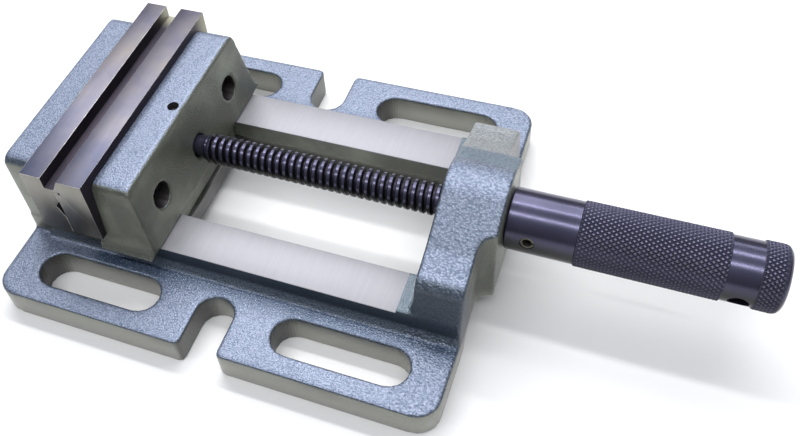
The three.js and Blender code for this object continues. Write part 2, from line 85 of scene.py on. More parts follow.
# ---- base casting ----
FLANGE_TOP = 13.0
RAIL_TOP = 22.0
RAIL_INNER = 26.0
RAIL_OUTER = 43.5
RAIL_START = -9.8
LAND_START = 127.0
LAND_TOP = 22.8
BRIDGE_START = 132.8
BRIDGE_END = 150.5
WINDOW_START = 4.0
SLOT_RADIUS = 7.5
SLOT_REACH = 18.5  # from the middle of a slot to the centre of its round end
SLOT_MIDDLES = (12.0, 111.0)
SLOT_LINE = 59.3
FACE_DEPTH = 0.45  # thickness of the bare ground layer on the rails
FACE_BREAK = 0.12
FOOT_FILLET = 2.6
FOOT_FILLET_START = BASE_LOW[0] + 9.0
FOOT_FILLET_END = BRIDGE_END - 2.0
STOCK = 1.2  # extra metal on a face that is ground afterwards
STOCK_ROOT = 3.0  # how deep that metal reaches into the casting
GROUND_OFF = 0.05  # taken off the underside
SEAT_HALF = 40.0  # half the width of the stock for the fixed plate's seat
BORE_RADIUS = 6.5
NUT_START = SCREW_HIGH[0] - 50.0  # the nut's bore is filled from here, then drilled smooth

# ---- moving jaw and plates ----
SEAT_GAP = 0.05
TONGUE_TOP = RAIL_TOP + 1.3
TOE_START = PLATE_HIGH[0] + SEAT_GAP - 3.0  # front of the foot under the moving plate
PLATE_BEVEL = 0.3
STEP_REACH = 4.3  # the stepped part of a plate's top, from its gripping face
MARK_RADIUS = 0.55  # the punch mark in the moving plate's near end
MARK_DEPTH = 0.8
MARK_INSET = 1.6
MARK_DROP = 6.9

# ---- how castings are finished ----
CAST_VOXEL = 0.6
CAST_PASSES = 9
CAST_SOFTNESS = 0.5
CAST_KEEP = 0.22

# ---- fasteners ----
BOLT_Y = 30.0
BOLT_Z = 37.5
COUNTERBORE = 5.15
FIXED_SEAT = -19.5
MOVING_SEAT = 19.8
HEAD_RADIUS = 4.6
HEAD_HEIGHT = {0: 5.6, 2: 4.0}  # along X in the jaws, along Z in the keeper plate
SHANK_RADIUS = 3.0
SOCKET_RADIUS = 2.6
SOCKET_DEPTH = 3.0
SCREW_BREAK = 0.5
WASHER_BREAK = 0.18
GRUB_BREAK = 0.25
GRUB_CLEARANCE = 0.3
GRUB_PLUG_DEPTH = 4.0  # the hole is filled this far below the screw's top before it is drilled
GRUB_POINT_RADIUS = 1.4
GRUB_POINT_LENGTH = 2.4
GRUB_POINT_ROOT = 3.0  # the point's own length, with what reaches into the thread
GRUB_SOCKET_RADIUS = 1.15
GRUB_SOCKET_DEPTH = 2.2

# ---- spindle ----
PITCH = 3.0
THREAD_ROOT = 4.25
THREAD_CREST = 6.0
CREST_HALF = 0.5
CREST_ROUND = 0.14
FLANK_SLOPE = math.tan(math.radians(15))
THREAD_START = 37.5
THREAD_STEPS = 40
RUN_IN = 4.0  # the thread fades in over this length
JOURNAL = 4.4
JOURNAL_BORE = JOURNAL + 0.4
JOURNAL_CHAMFER = 0.8
JAW_BORE_START = GRUB_LOW[0] - 6.0
THREAD_CLEAR = (0.1, 0.5)  # how far the thread's limit lies off its crest at either end
TAIL_GAP = 0.2
GROOVE_HALF = 2.1  # the groove that the grub screw's point sits in
GROOVE_RADIUS = 3.0
TAIL = 5.0
TAIL_CHAMFER = 0.6
TAIL_BORE = TAIL + 0.35

# ---- handle ----
COLLAR_RADIUS = 11.3
GRIP_START = 180.5
GRIP_END = 228.5
GRIP_RADIUS = 11.8
NECK_RADIUS = 11.25
CAP_START = 238.4
CAP_ROUND = 3.0
CAP_CROWN = 3.0  # radius of the flat in the middle of the cap's end
CAP_STEPS = 8
CAP_CHAMFER = 0.5
COLLAR_CHAMFER = 0.6
GRIP_CHAMFER = 0.4
STEP_DOWN = 0.1  # the small steps where smooth and knurled stretches meet
CORE_GAP = 0.3  # the core lies this far under the knurl's feet
TRIM_CLEAR = 0.05
TIP_DEPTH = 0.03  # faces no deeper than this below the full radius are tips
FOOT_RISE = 0.02  # faces higher than this above the collar are part of a knurl
BAR_HOLE_X = 234.2
BAR_HOLE_RADIUS = 3.4
BAR_HOLE_TILT = math.radians(19)
PIN_TILT = math.radians(-8)
PIN_RADIUS = 2.5
PIN_WALL = 0.85
PIN_HALF = 10.9
PIN_SLIT_HALF = 0.3
PIN_CLEARANCE = 0.12
PIN_BREAK = 0.15
KNURL_COUNT = 43
KNURL_STEP = 1.2  # half the length of a diamond, along the handle
KNURL_DEPTH = 0.45
KNURL_TIP = 0.34  # size of a diamond's flat tip against its foot

# ---- where painted light and shade fall on the base casting, and where its grain coarsens: low and high mark, then the blend past them ----
FOOT_SHADE_Y = (38.0, 47.0, 10.0)
FOOT_SHADE_Z = (12.9, 34.0, 5.0)
FOOT_SHADE_START = (2.0, 8.0)
LAND_SHADE_X = (127.0, 132.0, 1.0)
LAND_SHADE_Z = (20.0, 24.0, 1.5)
SLOT_SHADE_X = (-30.0, 130.0, 5.0)
SLOT_SHADE_Z = (-1.0, 12.5, 0.5)
SHOULDER_HIGHLIGHT_Y = (20.0, 45.0, 3.0)
HOLLOW_SHADE_Y = (10.0, 17.0, 2.5)
BRIDGE_X = (130.0, 132.0)
BRIDGE_Z = (31.0, 34.0)
COARSE_X = (129.0, 133.0)
# walls below these heights are paler: painted light from the floor
FLOOR_LIGHT_Z = (4.0, 16.0)
TURNING_FROM = (0.10, 0.60)  # how far a face looks up where the painted shade of walls gives way to the painted shade of turning faces
LEVEL_FROM = (0.82, 0.97)  # and where that gives way to the painted light of level faces

# ---- where the plates' tint, painted shade and painted light change ----
BLUE_TO_BROWN_Y = (-45.0, 20.0)
WALL_SHADE_TO_LIGHT_Z = (36.0, 56.0)
SHADED_TO_LIT_Y = (41.0, 49.0)


# ---- mesh helpers ----
def put(x, y, z):
    return Vector((x * MM, y * MM, z * MM))


def body_of_faces(name, points, faces):
    """An object made of millimetre points and faces, with its faces turned outwards."""
    mesh = bpy.data.meshes.new(name)
    mesh.from_pydata([put(*p) for p in points], [], faces)
    piece = bpy.data.objects.new(name, mesh)
    scene.collection.objects.link(piece)
    shape = bmesh.new()
    shape.from_mesh(mesh)
    bmesh.ops.recalc_face_normals(shape, faces=shape.faces)
    shape.to_mesh(mesh)
    shape.free()
    return piece


def prism(name, outline, low, high, place, far_outline=None):
    """An outline of 2-D points run from low to high; place turns (a, b, run) into (x, y, z)."""
    count = len(outline)
    points = [place(a, b, low) for a, b in outline]
    points += [place(a, b, high) for a, b in far_outline or outline]
    sides = [(i, (i + 1) % count, (i + 1) % count + count, i + count) for i in range(count)]
    ends = [tuple(range(count)), tuple(range(count, 2 * count))]
    return body_of_faces(name, points, sides + ends)


def along_x(a, b, run):
    return (run, a, b)


def along_y(a, b, run):
    return (a, run, b)


def along_z(a, b, run):
    return (a, b, run)


def box(x0, x1, y0, y1, z0, z1):
    outline = [(x0, y0), (x1, y0), (x1, y1), (x0, y1)]
    return prism("box", outline, z0, z1, along_z)


def circle(radius, sides, centre):
    steps = [2 * math.pi * (i + 0.5) / sides for i in range(sides)]
    return [(centre[0] + radius * math.cos(t), centre[1] + radius * math.sin(t)) for t in steps]


def rod(radius, low, high, centre, place, sides=SMALL_SIDES):
    return prism("rod", circle(radius, sides, centre), low, high, place)


def flare(radius, mouth, centre):
    """A cone that breaks the edge of a hole along X at its mouth, which opens towards -X."""
    wide = circle(radius + 2 * EDGE_BREAK, SMALL_SIDES, centre)
    narrow = circle(radius - 2 * EDGE_BREAK, SMALL_SIDES, centre)
    return prism("flare", wide, mouth - EDGE_BREAK, mouth + 3 * EDGE_BREAK, along_x, narrow)


def clone(node):
    """A free copy of a CAD solid, with the corners of its triangles joined up."""
    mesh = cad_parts[node].data.copy()
    shape = bmesh.new()
    shape.from_mesh(mesh)
    bmesh.ops.remove_doubles(shape, verts=shape.verts, dist=WELD)
    shape.to_mesh(mesh)
    shape.free()
    piece = bpy.data.objects.new("copy", mesh)
    scene.collection.objects.link(piece)
    return piece


def stadium(x, y):
    """The outline of a slot that runs along X."""
    half = SMALL_SIDES // 2
    outline = []
    for side in (1, -1):
        start = -side * math.pi / 2
        for i in range(half + 1):
            turn = start + side * math.pi * i / half * side
            outline.append((x + side * SLOT_REACH + SLOT_RADIUS * math.cos(turn),
                            y + SLOT_RADIUS * math.sin(turn)))
    return outline


def lathe(name, profile, sides=FINE_SIDES):
    """A closed profile of (x, radius) points turned about the screw's axis, which it starts and ends on."""
    ring = [(math.cos(2 * math.pi * i / sides), math.sin(2 * math.pi * i / sides)) for i in range(sides)]
    inner = profile[1:-1]
    points = [(profile[0][0], 0.0, AXIS_Z), (profile[-1][0], 0.0, AXIS_Z)]
    for x, radius in inner:
        points += [(x, radius * c, AXIS_Z + radius * s) for c, s in ring]
    faces = []
    last = 2 + (len(inner) - 1) * sides
    for i in range(sides):
        after = (i + 1) % sides
        faces.append((0, 2 + after, 2 + i))
        faces.append((1, last + i, last + after))
        for k in range(len(inner) - 1):
            low, high = 2 + k * sides, 2 + (k + 1) * sides
            faces.append((low + i, low + after, high + after, high + i))
    return body_of_faces(name, points, faces)


def settle(piece):
    """Applies a piece's modifiers to its mesh."""
    graph = bpy.context.evaluated_depsgraph_get()
    mesh = bpy.data.meshes.new_from_object(piece.evaluated_get(graph))
    old = piece.data
    piece.modifiers.clear()
    piece.data = mesh
    bpy.data.meshes.remove(old)
    return piece


def combine(piece, others, operation):
    """Joins, cuts or intersects closed solids; the others are used up."""
    for other in others:
        step = piece.modifiers.new("combine", "BOOLEAN")
        step.operation, step.solver, step.object = operation, "MANIFOLD", other
        settle(piece)
        bpy.data.objects.remove(other)
    return piece


def cut(piece, *tools):
    return combine(piece, tools, "DIFFERENCE")


def join(piece, *others):
    return combine(piece, others, "UNION")


def overlap(piece, other):
    return combine(piece, [other], "INTERSECT")


def round_edges(piece, width, segments=2, edge_material=-1):
    """Merges flat faces that were split into triangles, then bevels the edges that remain."""
    weld = piece.modifiers.new("weld", "WELD")
    weld.merge_threshold = WELD
    flat = piece.modifiers.new("flat", "DECIMATE")
    flat.decimate_type = "DISSOLVE"
    flat.angle_limit = FLAT_ANGLE
    bevel = piece.modifiers.new("bevel", "BEVEL")
    bevel.width = width * MM
    bevel.segments = segments
    bevel.limit_method = "ANGLE"
    bevel.angle_limit = BEVEL_ANGLE
    bevel.miter_outer = "MITER_ARC"
    bevel.material = edge_material


def shade(piece, angle=CREASE):
    """Shades a piece smoothly across edges blunter than an angle in degrees."""
    piece.data.shade_smooth()
    piece.data.set_sharp_from_angle(angle=math.radians(angle))


def coat(piece, materials):
    piece.data.materials.clear()
    for material in materials:
        piece.data.materials.append(material)


def repaint(piece, index, inside):
    """Gives another of a piece's materials to the faces that inside(centre, normal) picks."""
    for face in piece.data.polygons:
        if inside(face.center / MM, face.normal):
            face.material_index = index


def dress(piece, name, materials, body, nodes=()):
    """Names a finished piece, gives it its materials, hangs it on the body it rides on and hides the CAD
    nodes it stands for.
    """
    piece.name = name
    piece.data.name = name
    if list(piece.data.materials) != materials:
        coat(piece, materials)
    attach(piece, body)
    if nodes:
        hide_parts(*nodes)


# ---- material helpers ----
class Nodes:
    """A short way to write a node tree."""

    def __init__(self, name):
        self.material = bpy.data.materials.new(name)
        self.material.use_nodes = True
        self.tree = self.material.node_tree
        self.shader = self.tree.nodes["Principled BSDF"]
        self.place = self.add("ShaderNodeTexCoord").outputs["Object"]

    def add(self, kind, **values):
        node = self.tree.nodes.new(kind)
        for key, value in values.items():
            setattr(node, key, value)
        return node

    def link(self, output, target):
        self.tree.links.new(output, target)

    def stretched(self, scale):
        node = self.add("ShaderNodeMapping")
        node.inputs["Scale"].default_value = scale
        self.link(self.place, node.inputs["Vector"])
        return node.outputs["Vector"]

    def noise(self, scale, detail=2.0, roughness=0.5, place=None):
        node = self.add("ShaderNodeTexNoise")
        node.inputs["Scale"].default_value = scale
        node.inputs["Detail"].default_value = detail
        node.inputs["Roughness"].default_value = roughness
        self.link(place or self.place, node.inputs["Vector"])
        return node.outputs["Fac"]

    def cells(self, scale, place):
        node = self.add("ShaderNodeTexVoronoi", feature="SMOOTH_F1")
        node.inputs["Scale"].default_value = scale
        self.link(place, node.inputs["Vector"])
        return node.outputs["Distance"]

    def step(self, source, low, high):
        """A soft step: 0 below low and 1 above high."""
        node = self.add("ShaderNodeMapRange", interpolation_type="SMOOTHSTEP")
        node.inputs["From Min"].default_value = low
        node.inputs["From Max"].default_value = high
        self.link(source, node.inputs["Value"])
        return node.outputs["Result"]

    def along(self, axis, low, high):
        """A soft step between two millimetre marks on one of the vise's axes; "|Y|" counts both ways."""
        parts = self.add("ShaderNodeSeparateXYZ")
        self.link(self.place, parts.inputs["Vector"])
        place = parts.outputs[axis.strip("|")]
        if axis.startswith("|"):
            place = self.math("ABSOLUTE", place, 0.0)
        return self.step(place, low * MM, high * MM)

    def between(self, axis, low, high, blend):
        """1 from low to high along an axis, fading out over the blend length past each end."""
        rise = self.along(axis, low - blend, low)
        fall = self.along(axis, high, high + blend)
        return self.math("SUBTRACT", rise, fall)

    def all_of(self, *masks):
        """The product of several masks."""
        whole = masks[0]
        for mask in masks[1:]:
            whole = self.math("MULTIPLY", whole, mask)
        return whole

    def facing(self, axis, low, high):
        """0 to 1 as a face turns towards an axis, with a soft step between."""
        parts = self.add("ShaderNodeSeparateXYZ")
        self.link(self.add("ShaderNodeNewGeometry").outputs["True Normal"], parts.inputs["Vector"])
        return self.step(parts.outputs[axis], low, high)

    def upward(self, low, high):
        """0 on walls and 1 on faces that look up."""
        return self.facing("Z", low, high)

    def ramp(self, source, stops):
        """Colours along a value, from (position, colour) stops."""
        node = self.add("ShaderNodeValToRGB")
        node.color_ramp.elements[0].position = stops[0][0]
        node.color_ramp.elements[0].color = (*stops[0][1], 1.0)
        node.color_ramp.elements[1].position = stops[-1][0]
        node.color_ramp.elements[1].color = (*stops[-1][1], 1.0)
        for position, colour in stops[1:-1]:
            node.color_ramp.elements.new(position).color = (*colour, 1.0)
        self.link(source, node.inputs["Fac"])
        return node.outputs["Color"]

    def span(self, source, low, high):
        """A value from 0 to 1 stretched to run from low to high."""
        node = self.add("ShaderNodeMapRange")
        node.inputs["To Min"].default_value = low
        node.inputs["To Max"].default_value = high
        self.link(source, node.inputs["Value"])
        return node.outputs["Result"]

    def mix(self, factor, first, second):
        """A colour between two others; each input is a socket or a plain value."""
        node = self.add("ShaderNodeMix", data_type="RGBA")
        colour_in = [s for s in node.inputs if s.type == "RGBA"]
        if isinstance(factor, float):
            node.inputs["Factor"].default_value = factor
        else:
            self.link(factor, node.inputs["Factor"])
        for socket, value in zip(colour_in, (first, second)):
            if isinstance(value, tuple):
                socket.default_value = (*value, 1.0)
            else:
                self.link(value, socket)
        return [s for s in node.outputs if s.type == "RGBA"][0]

    def math(self, operation, first, second):
        node = self.add("ShaderNodeMath", operation=operation)
        for socket, value in zip(node.inputs, (first, second)):
            if isinstance(value, float):
                socket.default_value = value
            else:
                self.link(value, socket)
        return node.outputs["Value"]

    def blend(self, mask, first, second):
        """The first value where the mask is 0 and the second where it is 1."""
        return self.math("ADD", first, self.math("MULTIPLY", mask, self.math("SUBTRACT", second, first)))

    def pebbles(self, scale):
        """The rounded grain of hammered paint."""
        grain = self.cells(scale, self.stretched((1.0, 1.25, 1.0)))
        fine = self.noise(1.8 * scale, 2.0)
        return self.math("ADD", grain, self.math("MULTIPLY", fine, 0.7))

    def bump(self, height, depth, under=None):
        """A relief of a depth in millimetres, laid over another one if that is given."""
        node = self.add("ShaderNodeBump")
        node.inputs["Distance"].default_value = depth * MM
        node.inputs["Strength"].default_value = 1.0
        self.link(height, node.inputs["Height"])
        if under is not None:
            self.link(under, node.inputs["Normal"])
        return node.outputs["Normal"]

    def finish(self, colour, roughness, normal, **even):
        """Wires up the shader. even holds the values that are the same all over the surface."""
        self.link(colour, self.shader.inputs["Base Color"])
        self.link(roughness, self.shader.inputs["Roughness"])
        self.link(normal, self.shader.inputs["Normal"])
        for socket, value in even.items():
            self.shader.inputs[socket.replace("_", " ")].default_value = value
        if even.get("Coat_Weight"):
            self.link(normal, self.shader.inputs["Coat Normal"])
        return self.material


def grainy(n, pebble, high, low):
    """A tone that runs from the tops of the pebbles to the hollows between them."""
    return n.ramp(pebble, [(0.45, high), (0.95, low)])


def base_tints(n, pebble, level_shading, turning, wall):
    """Painted light and shade on the base: navy painted shade with pale painted glints at the foot of the
    rails, teal painted shade on the land and in the bridge's far hollow, a cream painted highlight on its far
    shoulder, and painted shade low in the slots.
    """
    black = (0.0, 0.0, 0.0)
    drift = n.step(n.noise(60.0, 3.0), 0.3, 0.7)
    # painted shade where the rails meet the flange
    foot = n.all_of(n.between("|Y|", *FOOT_SHADE_Y), n.between("Z", *FOOT_SHADE_Z), n.along("X", *FOOT_SHADE_START))
    # painted shade on the land between the rails' ground ends and the bridge
    land_shade = n.all_of(n.between("X", *LAND_SHADE_X), n.between("Z", *LAND_SHADE_Z))
    bridge = n.all_of(n.along("X", *BRIDGE_X), n.along("Z", *BRIDGE_Z))
    # painted highlight: a cream band across the bridge's far shoulder
    shoulder = n.all_of(bridge, n.between("Y", *SHOULDER_HIGHLIGHT_Y))
    # painted shade: teal in the hollow beside the hub on the far side
    hollow_shade = n.all_of(bridge, n.between("Y", *HOLLOW_SHADE_Y), n.span(drift, 0.6, 1.0))
    # painted shade on walls below the flange's top that face +X, such as the slots' ends
    slot_shade = n.all_of(n.facing("X", 0.0, 0.8), n.between("Z", *SLOT_SHADE_Z), n.between("X", *SLOT_SHADE_X))
    # navy painted shade, with pale painted glints on the pebbles
    navy_shade = n.ramp(pebble, [(0.34, (0.38, 0.46, 0.58)), (0.62, (0.035, 0.062, 0.11))])
    shade_teal = grainy(n, pebble, (0.15, 0.205, 0.245), (0.08, 0.125, 0.165))
    highlight_cream = grainy(n, pebble, (0.34, 0.355, 0.34), (0.225, 0.24, 0.235))
    # walls there take that painted shade
    wall = n.mix(n.math("MULTIPLY", slot_shade, 0.85), wall, (0.035, 0.036, 0.034))
    # walls at the foot take the painted shade
    wall = n.mix(foot, wall, (0.035, 0.05, 0.07))
    # level faces at the foot take the navy painted shade
    level_shading = n.mix(n.all_of(foot, n.span(drift, 0.7, 1.0)), level_shading, navy_shade)
    # the land's painted shade, on level and turning faces
    level_shading = n.mix(land_shade, level_shading, n.mix(0.45, shade_teal, black))
    turning = n.mix(land_shade, turning, n.mix(0.6, shade_teal, black))
    # lay the cream painted highlight and the teal painted shade over level and turning faces
    for mask, tint in ((n.math("MULTIPLY", shoulder, 0.85), highlight_cream), (hollow_shade, shade_teal)):
        level_shading = n.mix(mask, level_shading, tint)
        turning = n.mix(mask, turning, tint)
    return level_shading, turning, wall


def hammer_enamel(name, light_turn, dark_turn, is_base):
    """Hammered paint with light and shade painted in by facing: a pale painted-light tone where it faces up,
    a deeper painted shade where it turns, and olive-grey painted shade and reflection on walls.
    """
    n = Nodes(name)
    pebble = n.pebbles(1700.0)
    height = pebble
    if is_base:
        coarse = n.pebbles(1100.0)
        on_bridge = n.along("X", *COARSE_X)
        pebble = n.blend(on_bridge, pebble, coarse)
        height = n.blend(on_bridge, height, n.math("MULTIPLY", coarse, 1.9))
    # painted light: the pale tone of faces that look up
    level_shading = grainy(n, pebble, (0.25, 0.285, 0.37), (0.085, 0.115, 0.175))
    # painted shade: the deeper tone of faces that turn
    turning = grainy(n, pebble, light_turn, dark_turn)
    # painted shade and reflection on walls higher up, varied at random
    cloud = n.step(n.noise(38.0, 3.0), 0.35, 0.65)
    high_wall = n.mix(cloud, (0.085, 0.09, 0.068), (0.20, 0.215, 0.165))
    # painted light: walls low down are paler, where the floor lights them
    wall = n.mix(n.along("Z", *FLOOR_LIGHT_Z), (0.33, 0.33, 0.29), high_wall)
    if is_base:
        level_shading, turning, wall = base_tints(n, pebble, level_shading, turning, wall)
    # lay on the painted light and shade by how each face looks: walls, turning faces, level faces
    colour = n.mix(n.upward(*TURNING_FROM), wall, turning)
    colour = n.mix(n.upward(*LEVEL_FROM), colour, level_shading)
    waves = n.bump(n.noise(110.0, 2.0), 0.12)
    normal = n.bump(height, -0.13, waves)
    rough = n.span(n.upward(0.3, 0.9), 0.5, 0.38)
    return n.finish(colour, rough, normal, Metallic=0.5, Coat_Weight=0.6, Coat_Roughness=0.22)


def ground_iron():
    """Bare ground rails: pale, with faint streaks across the rails and small stains."""
    n = Nodes("ground_iron")
    streaks = n.noise(1.0, 4.0, 0.6, n.stretched((900.0, 60.0, 900.0)))
    stains = n.noise(90.0, 5.0, 0.6)
    colour = n.ramp(streaks, [(0.25, (0.270, 0.266, 0.280)), (0.75, (0.305, 0.300, 0.315))])
    stained = n.ramp(stains, [(0.55, (0.0, 0.0, 0.0)), (0.85, (0.3, 0.3, 0.3))])
    colour = n.mix(stained, colour, (0.24, 0.235, 0.25))
    return n.finish(colour, n.span(streaks, 0.48, 0.56), n.bump(streaks, 0.003), Metallic=0.7)


def jaw_steel():
    """Ground and hardened plates, darkened with oil, with a violet tint and lengthwise streaks; tops and
    walls differ by painted light, and the walls have painted shade low down and painted light higher up.
    """
    n = Nodes("jaw_steel")
    streaks = n.noise(1.0, 5.0, 0.65, n.stretched((2400.0, 45.0, 2400.0)))
    blotches = n.noise(55.0, 4.0, 0.55)
    up = n.upward(0.3, 0.8)
    blue_end = n.ramp(blotches, [(0.32, (0.075, 0.085, 0.135)), (0.68, (0.14, 0.135, 0.165))])
    brown_end = n.ramp(blotches, [(0.32, (0.115, 0.11, 0.16)), (0.50, (0.165, 0.155, 0.175)),
                                  (0.68, (0.20, 0.18, 0.17))])
    top = n.mix(n.along("Y", *BLUE_TO_BROWN_Y), blue_end, brown_end)
    # painted shade low on the walls, painted light higher up
    wall = n.mix(n.along("Z", *WALL_SHADE_TO_LIGHT_Z), (0.075, 0.073, 0.066), (0.33, 0.32, 0.275))
    # tops and walls get their own tones: painted light by facing
    colour = n.mix(n.span(streaks, 0.0, 0.4), n.mix(up, wall, top), (0.07, 0.065, 0.08))
    return n.finish(colour, n.span(streaks, 0.30, 0.50), n.bump(streaks, 0.02), Metallic=0.8)


def worn_edge():
    """The rubbed edges of the jaw plates."""
    n = Nodes("worn_edge")
    nicks = n.noise(300.0, 5.0, 0.7)
    colour = n.ramp(nicks, [(0.36, (0.20, 0.19, 0.19)), (0.58, (0.72, 0.69, 0.62))])
    return n.finish(colour, n.span(nicks, 0.25, 0.5), n.bump(nicks, 0.05), Metallic=0.85)


def groove_shade_steel():
    """Painted shade: steel made nearly black, with painted light towards the far end."""
    n = Nodes("groove_shade_steel")
    mottle = n.noise(120.0, 3.0)
    shade_tone = n.mix(mottle, (0.022, 0.018, 0.026), (0.055, 0.045, 0.06))
    # painted light on the far end, painted shade elsewhere
    colour = n.mix(n.along("Y", *SHADED_TO_LIT_Y), shade_tone, (0.30, 0.29, 0.22))
    return n.finish(colour, n.span(mottle, 0.4, 0.55), n.bump(mottle, 0.01), Metallic=0.8)


def black_oxide(name, dark, light, streak_scale, low, high):
    """Blackened steel with a blue-violet sheen, with painted shade where it faces down."""
    n = Nodes(name)
    streaks = n.noise(1.0, 4.0, 0.6, n.stretched(streak_scale))
    cloud = n.noise(45.0, 3.0)
    underside_shade = (0.85 * dark[0], 0.85 * dark[0], 0.80 * dark[0])
    # painted shade on faces that look down
    colour = n.mix(n.upward(-0.10, 0.45), underside_shade, n.mix(cloud, dark, light))
    return n.finish(colour, n.span(streaks, low, high), n.bump(streaks, 0.0004), Metallic=0.75)


def steel(name, colour, low, high):
    """Machined steel in one tone with fine turning marks."""
    n = Nodes(name)
    marks = n.noise(1500.0, 4.0, 0.6)
    darker = tuple(v * 0.6 for v in colour)
    tone = n.mix(n.span(n.noise(140.0, 3.0), 0.0, 0.6), colour, darker)
    return n.finish(tone, n.span(marks, low, high), n.bump(marks, 0.015), Metallic=0.9)


# the two tones after each name are the grain of the painted shade on turning faces
ENAMEL = hammer_enamel("hammer_enamel", (0.10, 0.13, 0.17), (0.045, 0.062, 0.085), True)
JAW_ENAMEL = hammer_enamel("jaw_enamel", (0.125, 0.135, 0.108), (0.085, 0.092, 0.072), False)
GROUND = ground_iron()
JAW_STEEL = jaw_steel()
WORN = worn_edge()
TURNED = (1400.0, 40.0, 40.0)  # rings left by turning about X
ROLLED = (900.0, 900.0, 900.0)
OXIDE = black_oxide("black_oxide", (0.040, 0.041, 0.067), (0.096, 0.091, 0.145), TURNED, 0.20, 0.30)
# painted shade: a near-black tone for the thread's roots and flanks
ROOT_SHADE = black_oxide("thread_root_shade", (0.012, 0.011, 0.017), (0.028, 0.026, 0.040), TURNED, 0.35, 0.5)
KNURL_TIPS = black_oxide("knurl_tips", (0.13, 0.13, 0.20), (0.20, 0.195, 0.27), ROLLED, 0.4, 0.6)
KNURL_GROOVES = black_oxide("knurl_grooves", (0.055, 0.055, 0.088), (0.095, 0.092, 0.14), ROLLED, 0.4, 0.6)
BORE = steel("bore_iron", (0.05, 0.045, 0.045), 0.45, 0.6)
GROOVE_SHADE = groove_shade_steel()
FASTENER = steel("fastener_steel", (0.06, 0.06, 0.07), 0.30, 0.50)
SPRING = steel("spring_steel", (0.14, 0.135, 0.11), 0.32, 0.48)
BARE = steel("bare_steel", (0.20, 0.195, 0.19), 0.32, 0.52)


# ---- castings ----
def cast(node, extra):
    """The CAD solid with extra metal joined on, its edges and corners rounded as a casting's are.

    Machined faces are given extra metal here and are cut back flat afterwards.
    """
    blank = clone(node)
    join(blank, *extra)
    skin = blank.modifiers.new("skin", "REMESH")
    skin.mode = "VOXEL"
    skin.voxel_size = CAST_VOXEL * MM
    soften = blank.modifiers.new("soften", "SMOOTH")
    soften.factor = CAST_SOFTNESS
    soften.iterations = CAST_PASSES
    thin = blank.modifiers.new("thin", "DECIMATE")
    thin.ratio = CAST_KEEP
    return settle(blank)


def wedge(low, high, across, z, side, size, place):
    """A fillet's core from low to high, in the corner at (across, z), reaching outwards on that side."""
    back, toe = across - side * BITE, across + side * size
    outline = [(back, z - BITE), (toe, z - BITE), (toe, z), (across, z + size), (back, z + size)]
    return prism("wedge", outline, low, high, place)


def in_counterbore(at):
    """Whether a place lies inside one of a jaw's two counterbores, seen along X."""
    return math.hypot(abs(at.y) - BOLT_Y, at.z - BOLT_Z) < COUNTERBORE


def off_axis(at):
    """How far a place is from the screw's axis."""
    return math.hypot(at.y, at.z - AXIS_Z)


def both_sides(side, inner, outer):
    """The low and high Y of a stretch that lies between two distances from the centre plane."""
    return sorted((side * inner, side * outer))


def base_stock():
    """Extra metal for the base: the filled nut, the faces to be ground and the cores of the fillets."""
    stock = [box(NUT_START, BOSS_END, -BORE_RADIUS, BORE_RADIUS, AXIS_Z - BORE_RADIUS, AXIS_Z + BORE_RADIUS)]
    for side in (-1, 1):
        low, high = both_sides(side, RAIL_INNER - BITE, RAIL_OUTER)
        stock.append(box(RAIL_START, LAND_START - BITE, low, high, RAIL_TOP - STOCK_ROOT, RAIL_TOP + STOCK))
        stock.append(wedge(FOOT_FILLET_START, FOOT_FILLET_END, side * RAIL_OUTER, FLANGE_TOP, side,
                           FOOT_FILLET, along_x))
        low, high = both_sides(side, RAIL_INNER + BITE, RAIL_OUTER - 2 * BITE)
        stock.append(wedge(low, high, BRIDGE_START, LAND_TOP, -1, FOOT_FILLET / 2, along_y))
    stock.append(box(RAIL_START - BITE, RAIL_START + OVERRUN, -SEAT_HALF, SEAT_HALF, RAIL_TOP - BITE,
                     JAW_TOP))
    return stock


def base_casting():
    """The base, with its window, seat, rails, bores and slots cut clean."""
    piece = cast("base_body", base_stock())
    window = box(WINDOW_START, BRIDGE_START, -RAIL_INNER, RAIL_INNER, -OVERRUN, JAW_TOP)
    seat = box(RAIL_START, RAIL_START + 3 * OVERRUN, -RAIL_OUTER, RAIL_OUTER, RAIL_TOP, JAW_TOP)
    screw_bore = rod(BORE_RADIUS, LAND_START, BOSS_END + OVERRUN, (0, AXIS_Z), along_x, FINE_SIDES)
    underside = box(BASE_LOW[0] - OVERRUN, BOSS_END + OVERRUN, BASE_LOW[1] - OVERRUN,
                    BASE_HIGH[1] + OVERRUN, -OVERRUN, GROUND_OFF)
    slots = [prism("slot", stadium(x, side * SLOT_LINE), -OVERRUN, FLANGE_TOP + OVERRUN, along_z)
             for x in SLOT_MIDDLES for side in (-1, 1)]
    faces = []
    bores = []
    mouths = []
    for side in (-1, 1):
        low, high = both_sides(side, RAIL_INNER, RAIL_OUTER + OVERRUN)
        faces.append(box(RAIL_START, LAND_START, low, high, RAIL_TOP - FACE_DEPTH, JAW_TOP))
        bolt = (side * BOLT_Y, BOLT_Z)
        bores.append(rod(COUNTERBORE, BASE_LOW[0] - OVERRUN, FIXED_SEAT, bolt, along_x))
        mouths.append(flare(COUNTERBORE, BASE_LOW[0], bolt))
    cut(piece, window, seat, *faces, screw_bore, underside, *slots, *bores, *mouths)
    shade(piece)
    dress(piece, "base_casting", [ENAMEL, BORE], "base", ["base_body"])
    repaint(piece, 1, lambda at, facing: in_counterbore(at) and at.x < FIXED_SEAT + EDGE_BREAK)
    repaint(piece, 1, lambda at, facing: at.x > LAND_START and off_axis(at) < BORE_RADIUS)


def rail_faces():
    """The ground top layer of each rail."""
    for name, side in (("rail_face_near", -1), ("rail_face_far", 1)):
        low, high = both_sides(side, RAIL_INNER, RAIL_OUTER)
        piece = box(RAIL_START, LAND_START, low, high, RAIL_TOP - FACE_DEPTH, RAIL_TOP)
        round_edges(piece, FACE_BREAK)
        settle(piece)
        shade(piece)
        dress(piece, name, [GROUND], "base")


